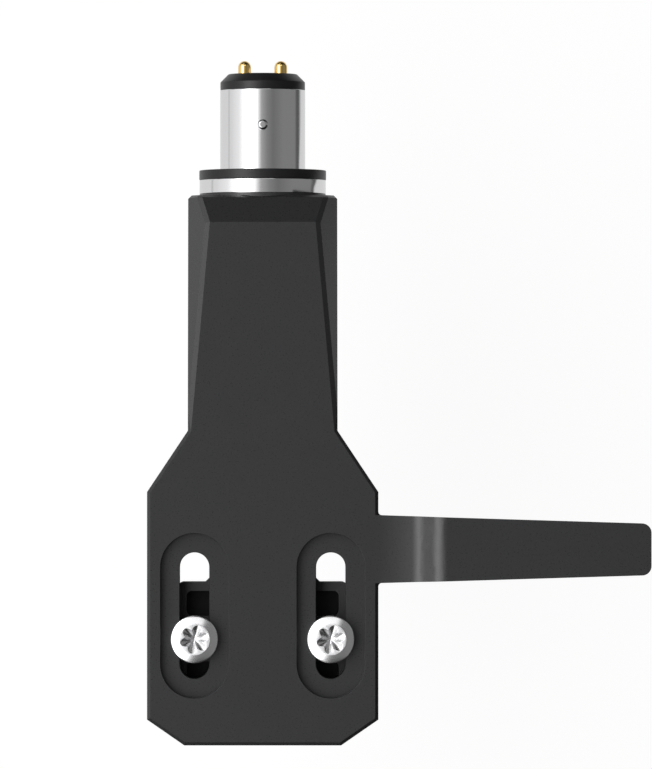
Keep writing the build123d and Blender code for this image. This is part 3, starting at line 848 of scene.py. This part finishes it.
@dataclass
class Wiring:
    """Clips, terminal pins and leads. Sizes are in mm."""

    clip_length: float = 3.6
    clip_neck: float = 1.5
    clip_taper: float = 0.4
    crimp: Quad = (0.45, 0.6, 0.8, 0.95)
    crimp_depth: float = 0.07
    wall: float = 0.22
    clearance: float = 0.02
    lead_radius: float = 0.45
    lead_pinch: float = 0.05
    shell_pin: float = 0.45
    terminal_pin: float = 0.6
    terminal_ends: Pair = (-36.6, -28.4)
    terminal_chamfer: float = 0.2
    shell_mouth: float = -5.04
    cartridge_mouth: float = -31.8
    shell_spacing: float = 3.4
    cartridge_spacing: float = 4.0
    upper_level: float = 1.6
    lower_level: float = -2.2
    bow: float = 4.2
    bow_outward: float = 0.35
    bow_places: Pair = (0.42, 0.6)
    bow_second: float = 0.97
    overlap: float = 1.2
    straight: float = 3.0

    def clip(self, mouth: float, way: Facing, pin_radius: float) -> bpy.types.Object:
        """One rolled clip with its crimp and the grip on the lead.

        Args:
            mouth: Where its open end is along Y.
            way: The way from its mouth to its lead.
            pin_radius: The pin that it holds.

        Returns:
            The clip on the frame's own Y axis.
        """
        bore = pin_radius + self.clearance
        outer = bore + self.wall
        grip = self.lead_radius + self.wall
        end = self.clip_length + self.clip_neck
        start = self.clip_length - self.clip_taper
        near, low, high, far = (self.clip_length + place for place in self.crimp)
        hold = self.lead_radius - self.lead_pinch
        outline = [
            (bore, 0.0), (outer, 0.0), (outer, start), (grip, self.clip_length), (grip, near),
            (grip - self.crimp_depth, low), (grip - self.crimp_depth, high), (grip, far),
            (grip, end), (hold, end), (hold, self.clip_length), (bore, start),
        ]
        place = standing((0.0, mouth, 0.0), Vector(way.value))
        return lathe("one_clip", CLIP_GOLD, place, outline, 0.05, 36, True, 2, 45.0)

    def terminal(self) -> bpy.types.Object:
        """One terminal pin on the frame's Y axis."""
        inner, outer = self.terminal_ends
        radius, chamfer = self.terminal_pin, self.terminal_chamfer
        outline = [
            (0.0, inner), (radius, inner), (radius, outer - chamfer), (radius - chamfer, outer),
            (0.0, outer),
        ]
        place = standing((0.0, 0.0, 0.0), Vector(Facing.REARWARD.value))
        return lathe("one_terminal", GOLD, place, outline, 0.06, 36, angle=45.0)

    def route(self, side: int, level: int) -> list[Vector]:
        """The points that a lead's centre line is drawn through, as in the part's source."""
        shell_end = self.shell_mouth - self.clip_length - self.clip_neck
        start = Vector((side * self.shell_spacing / 2, shell_end, level * self.shell_spacing / 2))
        height = self.upper_level if level > 0 else self.lower_level
        cartridge_end = self.cartridge_mouth + self.clip_length + self.clip_neck
        end = Vector((side * self.cartridge_spacing / 2, cartridge_end, height))
        span = end - start
        fall = Vector((side * self.bow_outward, 0.0, -1.0)) * self.bow
        inside = Vector((0.0, self.overlap, 0.0))
        straight = Vector((0.0, self.straight, 0.0))
        first, second = self.bow_places
        return [
            start + inside, start, start - straight, start + span * first + fall,
            start + span * second + fall * self.bow_second, end + straight, end, end - inside,
        ]

    def lead(self, name: str, side: int, level: int, finish: Finish) -> bpy.types.Object:
        """One lead as a smooth tube from clip to clip.

        Args:
            name: The piece's name.
            side: -1 for the left pin, 1 for the right one.
            level: 1 for the upper pin, -1 for the lower one.
            finish: Its insulation.

        Returns:
            The tube.
        """
        curve = bpy.data.curves.new(name + "_line", "CURVE")
        curve.dimensions = "3D"
        curve.bevel_depth = self.lead_radius * MM
        curve.bevel_resolution = 5
        curve.resolution_u = 10
        curve.use_fill_caps = True
        spline = curve.splines.new("NURBS")
        points = self.route(side, level)
        spline.points.add(len(points) - 1)
        for spot, point in zip(spline.points, points):
            spot.co = (*(point * MM), 1.0)
        spline.order_u = 3
        spline.use_endpoint_u = True
        line = linked(name + "_line", curve)
        mesh = evaluated(line)
        bpy.data.objects.remove(line)
        built = bmesh.new()
        built.from_mesh(mesh)
        return settle(name, built, finish, 60.0)

    def build(self, growth: Growth) -> None:
        """Make the clips, terminals and leads."""
        middle = (self.upper_level + self.lower_level) / 2
        drop = self.upper_level - self.lower_level
        shell = four_of(
            growth, self.clip(self.shell_mouth, Facing.FORWARD, self.shell_pin), "plug_clips",
            (self.shell_spacing, self.shell_spacing), 0.0, CLIP_GOLD,
        )
        report(shell, "headshell", numbered("headshell_clip"))
        spread = (self.cartridge_spacing, drop)
        fitted = four_of(
            growth, self.clip(self.cartridge_mouth, Facing.REARWARD, self.terminal_pin),
            "terminal_clips", spread, middle, CLIP_GOLD,
        )
        report(fitted, "cartridge", numbered("cartridge_clip"))
        terminals = four_of(growth, self.terminal(), "terminals", spread, middle, GOLD)
        report(terminals, "cartridge", numbered("terminal_pin"))
        leads = (
            ("white", -1, 1, (0.8, 0.8, 0.77)),
            ("red", 1, 1, (0.55, 0.025, 0.02)),
            ("blue", -1, -1, (0.02, 0.07, 0.42)),
            ("green", 1, -1, (0.02, 0.26, 0.06)),
        )
        for order, (colour, side, level, shade) in enumerate(leads):
            finish = insulation(colour + "_insulation", shade, 20.0 + order)
            tube = self.lead("wire_" + colour, side, level, finish)
            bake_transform(tube)
            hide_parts("lead_" + colour)
            log.info("wire_%s between headshell and cartridge", colour)


@dataclass
class Screws:
    """The two mounting screws, with a six-lobed drive and a thread. Sizes are in mm."""

    spacing: float = 12.7
    place: float = -43.9
    seat: float = 6.7
    head_radius: float = 2.22
    head_height: float = 1.35
    rim: float = 0.92
    disc: float = 1.42
    recess: float = 1.36
    waist: float = 0.92
    depth: float = 0.75
    slope: float = 0.38
    edge: float = 0.07
    turn: float = 16.0
    shank: float = 1.25
    shank_chamfer: float = 0.2
    length: float = 5.0
    ridge: float = 0.11
    turns: float = 9.5
    stem_inset: float = 0.12
    thread_foot: float = 0.25
    thread_short: float = 0.6
    lobes: int = 6
    lobe_shape: float = 0.65
    drive_shares: tuple[float, ...] = (0.15, 0.4, 0.65, 0.85, 0.96, 1.0)
    lip: float = 0.02
    lip_rise: float = 0.003
    dome: int = 10
    dome_shares: Pair = (0.85, 0.15)
    rim_fall: float = 0.04
    seat_chamfer: float = 0.06
    steps: int = 144

    def _star(self, share: float) -> list[float]:
        """The drive's half-widths round the compass.

        Args:
            share: 0 at the drive's foot, where the lobes are crisp, to 1 at its top.

        Returns:
            A half-width in mm for each step.
        """
        sector = 360.0 / self.lobes
        half = sector / 2
        widths = []
        for step in range(self.steps):
            off = abs((360.0 * step / self.steps + half) % sector - half)
            wave = 0.5 + 0.5 * math.cos(math.radians(self.lobes * off))
            soft = self.waist + (self.recess - self.waist) * wave**self.lobe_shape
            lean = self.waist * math.sin(math.radians(half - off))
            lean += self.recess * math.sin(math.radians(off))
            crisp = self.recess * self.waist * math.sin(math.radians(half)) / lean
            widths.append(share * (soft * share + crisp * (1 - share)))
        return widths

    def _ring(self, built: bmesh.types.BMesh, widths: list[float], height: float) -> list:
        """A ring of vertices, given its half-widths round the compass from the first lobe."""
        spots = []
        for step, width in enumerate(widths):
            bearing = math.tau * step / self.steps + math.radians(self.turn)
            spot = Vector((width * math.cos(bearing), width * math.sin(bearing), height))
            spots.append(built.verts.new(spot * MM))
        return spots

    def head(self) -> bpy.types.Object:
        """The domed head with its recess, and the shank, made ring by ring about z."""
        built = bmesh.new()
        top = self.seat + self.head_height
        foot = self.seat - self.length
        rings = [[built.verts.new((0.0, 0.0, (top - self.depth) * MM))]]
        for share in self.drive_shares:
            rings.append(self._ring(built, self._star(share), top - self.depth * (1 - share)))
        lip = [width + self.lip for width in self._star(1.0)]
        rings.append(self._ring(built, lip, top + self.lip_rise))
        rim = [self.disc - self.lip] * self.steps
        rings.append(self._ring(built, rim, top + self.lip_rise))
        run = self.head_radius - self.disc - self.edge
        even, round_share = self.dome_shares
        for step in range(self.dome + 1):
            t = step / self.dome
            fall = run * self.slope * (even * t + round_share * t**2)
            rings.append(self._ring(built, [self.disc + run * t] * self.steps, top - fall))
        stem = self.shank - self.stem_inset
        shoulder = top - run * self.slope
        for radius, height in (
            (self.head_radius - self.edge * 0.55, shoulder - self.edge * 0.35),
            (self.head_radius - self.edge * 0.2, shoulder - self.edge * 0.9),
            (self.head_radius, self.seat + self.rim - self.rim_fall),
            (self.head_radius, self.seat + self.seat_chamfer),
            (self.head_radius - self.seat_chamfer, self.seat),
            (stem, self.seat),
            (stem, foot + self.shank_chamfer),
            (stem - self.shank_chamfer, foot),
        ):
            rings.append(self._ring(built, [radius] * self.steps, height))
        rings.append([built.verts.new((0.0, 0.0, foot * MM))])
        for low, high in zip(rings, rings[1:]):
            bridge(built, low, high)
        return settle("screw_body", built, SCREW_PLATE, 18.0)

    def build(self, growth: Growth, thread: Growth) -> None:
        """Make one screw with its thread, and set it out for each side."""
        foot = self.seat - self.length + self.thread_foot
        ridge = thread.run(
            "screw_ridge", SCREW_PLATE,
            {
                "Turns": self.turns, "Radius": (self.shank - self.ridge) * MM,
                "Length": (self.length - self.thread_short) * MM, "Ridge": self.ridge * MM,
                "Foot": (0.0, 0.0, foot * MM),
            },
        )
        built = bmesh.new()
        for part in (self.head(), ridge):
            built.from_mesh(part.data)
            bpy.data.objects.remove(part)
        one = settle("one_screw", built, SCREW_PLATE)
        for name, side in (("left", -1), ("right", 1)):
            piece = growth.run(
                "screw_" + name, SCREW_PLATE,
                {
                    "Piece": one, "Columns": 1, "Rows": 1, "Width": 0.0, "Depth": 0.0,
                    "Centre": (side * self.spacing / 2 * MM, self.place * MM, 0.0),
                    "Turn": (0.0, 0.0, 0.0),
                },
                18.0,
            )
            report(piece, "cartridge", ["mounting_screw_" + name])
        bpy.data.objects.remove(one)


@dataclass
class Coils:
    """The generator's two windings and their bobbins. Sizes are in mm."""

    rim: float = 0.48
    wire: float = 0.07
    inset: float = 0.32
    corner: float = 0.4

    def build(self, winding: Growth) -> None:
        """Wind each coil over its bobbin's place."""
        for name, side in (("left", -1), ("right", 1)):
            low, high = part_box("coil_" + name)
            centre = (low + high) / 2
            first = Vector((centre.x, low.y + self.rim * MM, centre.z))
            turns = int((high.y - low.y - 2 * self.rim * MM) / (2 * self.wire * MM))
            piece = winding.run(
                "winding_" + name, ENAMEL,
                {
                    "Turns": turns, "Pitch": 2 * self.wire * MM,
                    "Width": (high.x - low.x) - self.inset * MM,
                    "Height": (high.z - low.z) - self.inset * MM,
                    "Corner": self.corner * MM, "Wire": self.wire * MM, "First": tuple(first),
                },
                60.0,
            )
            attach(piece, "cartridge")
            dress("coil_" + name, BLOCK_PLASTIC)
            log.info("winding_%s on cartridge, %d turns", name, turns)


@dataclass
class Needle:
    """The cantilever and its diamond. Sizes are in mm."""

    rake: float = 22.0
    lever: float = 7.0
    radius: float = 0.25
    wall: float = 0.07
    behind: float = 0.7
    overhang: float = 0.45
    diamond_radius: float = 0.14
    diamond_height: float = 0.7
    cone: float = 0.32
    point: Pair = (0.02, 0.012)
    tip: Triple = (0.0, -53.4, -12.5)

    def _way(self) -> Vector:
        """The way that the cantilever points."""
        angle = math.radians(self.rake)
        return Vector((0.0, -math.cos(angle), -math.sin(angle)))

    def tube(self) -> bpy.types.Object:
        """The cantilever, an open tube."""
        seat = Vector(self.tip) + Vector((0.0, 0.0, self.diamond_height))
        pivot = seat - self._way() * self.lever
        outline = [
            (self.radius - self.wall, -self.behind), (self.radius, -self.behind),
            (self.radius, self.lever + self.overhang),
            (self.radius - self.wall, self.lever + self.overhang),
        ]
        place = standing(tuple(pivot), self._way())
        return lathe("needle_tube", ALUMINIUM, place, outline, 0.02, 48, True, 2)

    def diamond(self) -> bpy.types.Object:
        """The diamond, a round shank ground to a rounded cone."""
        top = self.diamond_height + self.radius
        outline = [
            (0.0, 0.0), self.point, (self.diamond_radius, self.cone), (self.diamond_radius, top),
            (0.0, top),
        ]
        place = standing(self.tip, Vector(Facing.UP.value))
        return lathe("diamond", DIAMOND, place, outline, 0.0, 32, angle=30.0)

    def build(self) -> None:
        """Make the cantilever and the diamond."""
        report(self.tube(), "cantilever", ["cantilever"])
        report(self.diamond(), "cantilever", ["stylus_tip"])


@dataclass
class Castings:
    """The cast and moulded pieces, whose CAD shapes get eased edges."""

    eased: tuple[tuple[str, str, float, Finish, str], ...] = (
        ("headshell", "headshell", 0.06, COATING, "headshell"),
        ("cartridge_housing", "cartridge", 0.05, HOUSING_PLASTIC, "housing"),
        ("stylus_holder", "stylus", 0.05, GRIP_PLASTIC, "stylus_holder"),
    )
    plain: tuple[tuple[str, Finish], ...] = (
        ("terminal_block", BLOCK_PLASTIC), ("pole_piece_left", IRON), ("pole_piece_right", IRON),
        ("stylus_tube", ALUMINIUM), ("suspension_block", BRASS), ("suspension_wire", IRON),
        ("damper", SOFT_RUBBER), ("pivot_sleeve", ALUMINIUM), ("magnet", SINTERED),
    )

    def build(self) -> None:
        """Ease the outer pieces and dress the inner ones."""
        for node, body, width, finish, slot in self.eased:
            report(softened(node, width, finish), body, [node])
        for node, finish in self.plain:
            dress(node, finish)


@dataclass
class Studio:
    """Camera, lamps, floor and the tent that bright metal reflects. Sizes are in metres."""

    distance: float = 0.65
    sensor: float = 36.0
    clip: Pair = (0.02, 20.0)
    frame_wide: int = 652
    frame_high: int = 769
    scale: float = 10.62
    centre_x: float = 262.7
    centre_y: float = 420.0
    look_y: float = -0.02348
    floor_level: float = -0.03
    key_lean: float = 38.0
    key_distance: float = 0.6
    key_wide: float = 0.46
    key_long: float = 1.24
    key_power: float = 5.3
    tent_radius: float = 2.4
    tent_foot: float = -0.05
    floor_share: float = 1.1
    floor_range: Pair = (-0.25, 0.25)
    floor_ends: Pair = (0.05, 0.12)
    floor_widening: float = 0.2
    dark_shift: float = -0.055
    dark_gain: float = 5.0
    dark_along: float = 0.01
    dark_across: Pair = (0.0, 0.03)
    paper_seen: float = 0.1
    paper: float = 0.4
    fill: float = 0.06
    end_dark: float = 0.85
    white: float = 0.93
    tent_ends: Pair = (0.58, 0.76)
    card_along: Quad = (0.4, 0.5, 0.68, 0.76)
    card_across: Pair = (0.25, 0.4)
    card_grey: float = 1.3
    flag_place: float = 0.11
    flag_reach: Pair = (-0.4, -0.009)
    flag_top: float = 0.075
    flag_grey: float = 0.02
    tent_greys: tuple[Pair, ...] = (
        (-90.0, 0.86), (-68.0, 1.0), (-56.0, 1.3), (-42.0, 4.8), (-28.0, 3.4), (-14.5, 1.3),
        (-4.0, 0.42), (12.0, 0.25), (28.0, 0.18), (57.0, 0.24),
    )
    floor_greys: tuple[Pair, ...] = (
        (-0.16, 0.82), (-0.12, 0.5), (-0.1, 0.82), (0.042, 0.76), (0.065, 0.14), (0.1, 0.1),
        (0.2, 0.24),
    )

    def camera(self) -> None:
        """Look straight down at the plate, with the shift that the framing needs."""
        data = bpy.data.cameras.new("camera")
        data.sensor_width = self.sensor
        data.sensor_fit = "AUTO"
        longest = max(self.frame_wide, self.frame_high)
        data.lens = self.scale * (self.distance / MM) * self.sensor / longest
        data.shift_x = (self.frame_wide / 2 - self.centre_x) / longest
        data.shift_y = (self.centre_y - self.frame_high / 2) / longest
        data.clip_start, data.clip_end = self.clip
        camera = linked("camera", data)
        camera.location = (0.0, self.look_y, self.distance)
        bpy.context.scene.camera = camera

    def lamps(self) -> None:
        """One long soft box up on the left, along the object. The tent takes its reflection."""
        lean = math.radians(self.key_lean)
        data = bpy.data.lights.new("soft_box", "AREA")
        data.shape = "RECTANGLE"
        data.size = self.key_wide
        data.size_y = self.key_long
        data.energy = self.key_power
        lamp = linked("soft_box", data)
        reach = self.key_distance
        lamp.location = (-math.sin(lean) * reach, self.look_y, math.cos(lean) * reach)
        lamp.rotation_euler = (0.0, -lean, 0.0)
        lamp.visible_glossy = False

    @staticmethod
    def _seen(bench: Bench) -> Signal:
        """1 for what the camera sees, straight, in a mirror or through glass."""
        return bench.ray("Camera").most(bench.ray("Glossy")).most(bench.ray("Transmission"))

    def world(self) -> None:
        """An even pale world, white where the camera sees it."""
        world = bpy.data.worlds.new("studio")
        world.use_nodes = True
        bpy.context.scene.world = world
        bench = Bench(world.node_tree)
        strength = self._seen(bench) * (1 - self.fill) + self.fill
        glow = bench.add(
            "ShaderNodeBackground", {}, {"Color": opaque(1.0), "Strength": strength}
        )
        bench.add("ShaderNodeOutputWorld", {}, {0: glow})

    def floor(self) -> None:
        """A plain white floor, a little below the diamond."""
        built = bmesh.new()
        size = self.tent_radius * self.floor_share
        bmesh.ops.create_grid(built, x_segments=2, y_segments=2, size=size)
        bmesh.ops.translate(built, verts=built.verts, vec=(0.0, 0.0, self.floor_level))
        made, bench = blank("white_floor")
        across = bench.place("X")
        along = bench.place("Y")
        far = (along - self.look_y).size() - across.size() * self.floor_widening
        ends = bench.rise(far, *self.floor_ends)
        shift = ((along - self.dark_along) * self.dark_gain).least(0.0).most(self.dark_shift)
        shift = shift * bench.rise(across, *self.dark_across)
        mirrored = bench.ramp(across + shift, *self.floor_range, self.floor_greys)
        mirrored = mirrored * (1 - ends * self.end_dark)
        camera = bench.ray("Camera")
        glossy = bench.ray("Glossy")
        paper = bench.blend(camera, opaque(self.paper), opaque(self.paper_seen))
        shade = bench.blend(glossy, paper, opaque(0.0))
        matte = bench.add("ShaderNodeBsdfDiffuse", {}, {"Color": shade})
        strength = self._seen(bench) * self.white * (1 - glossy) + glossy * mirrored
        glow = bench.add("ShaderNodeEmission", {}, {"Strength": strength})
        both = bench.add("ShaderNodeAddShader", {}, {0: matte, 1: glow})
        bench.add("ShaderNodeOutputMaterial", {}, {0: both})
        floor = linked("floor", meshed("floor", built))
        floor.data.materials.append(made)

    def tent(self) -> None:
        """A grey dome that only reflections see, pale on the left and dark at both ends."""
        built = bmesh.new()
        bmesh.ops.create_uvsphere(built, u_segments=48, v_segments=24, radius=self.tent_radius)
        below = [v for v in built.verts if v.co.z < self.tent_foot]
        bmesh.ops.delete(built, geom=below, context="VERTS")
        bmesh.ops.translate(built, verts=built.verts, vec=(0.0, 0.0, self.floor_level))
        made, bench = blank("grey_tent")
        across, along, height = (bench.place(axis) / self.tent_radius for axis in "XYZ")
        lean = across.bearing(height) * (180 / math.pi)
        ends = bench.rise(along.size(), *self.tent_ends)
        walls = bench.ramp(lean, -90.0, 90.0, self.tent_greys) * (1 - ends * self.end_dark)
        start, full, fall, end = self.card_along
        band = bench.rise(along, start, full) * (1 - bench.rise(along, fall, end))
        card = band * (1 - bench.rise(across, *self.card_across))
        self._unseen("tent", built, made, bench, walls.most(card * self.card_grey))

    def flag(self) -> None:
        """A black card on the right of the neck and plate, that only reflections see."""
        built = bmesh.new()
        low = self.floor_level + 0.001
        near, far = self.flag_reach
        corners = ((near, low), (far, low), (far, self.flag_top), (near, self.flag_top))
        built.faces.new([built.verts.new((self.flag_place, y, z)) for y, z in corners])
        made, bench = blank("black_card")
        self._unseen("flag", built, made, bench, self.flag_grey)

    @staticmethod
    def _unseen(
        name: str, built: bmesh.types.BMesh, made: bpy.types.Material, bench: Bench,
        strength: object,
    ) -> None:
        """Stand a glowing card in the studio that reflections alone see.

        Args:
            name: The card's name.
            built: Its faces.
            made: Its material.
            bench: The material's nodes.
            strength: How bright it is, a Signal or a number.
        """
        glow = bench.add("ShaderNodeEmission", {}, {"Strength": strength})
        bench.add("ShaderNodeOutputMaterial", {}, {0: glow})
        card = linked(name, meshed(name, built))
        card.data.shade_smooth()
        card.data.materials.append(made)
        card.visible_camera = False
        card.visible_diffuse = False
        card.visible_shadow = False
        card.visible_transmission = False

    def build(self) -> None:
        """Set the studio up."""
        scene = bpy.context.scene
        scene.view_settings.view_transform = "Standard"
        self.camera()
        self.lamps()
        self.world()
        self.floor()
        self.tent()
        self.flag()


def numbered(stem: str) -> list[str]:
    """The names of a set of four nodes."""
    return [f"{stem}_{number}" for number in range(1, 5)]


def report(piece: bpy.types.Object, body: str, nodes: list[str]) -> None:
    """Set a piece on its body in place of its CAD nodes, and log it.

    Args:
        piece: The finished piece.
        body: The CAD body that it moves with.
        nodes: The CAD nodes that it stands for.
    """
    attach(piece, body)
    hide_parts(*nodes)
    log.info("%s on %s, %d faces", piece.name, body, len(piece.data.polygons))


def dress(node: str, finish: Finish) -> None:
    """Give a CAD node a finish."""
    finish.wear(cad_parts[node].data)
    log.info("%s keeps its CAD shape", node)


def main() -> None:
    """Build the studio and every piece, in order."""
    logging.basicConfig(level=logging.INFO, format="%(name)s: %(message)s")
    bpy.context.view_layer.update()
    Studio().build()
    array = array_growth()
    Castings().build()
    Connector().build(array)
    Wiring().build(array)
    Screws().build(array, thread_growth())
    Coils().build(winding_growth())
    Needle().build()


if __name__ == "__main__":
    main()
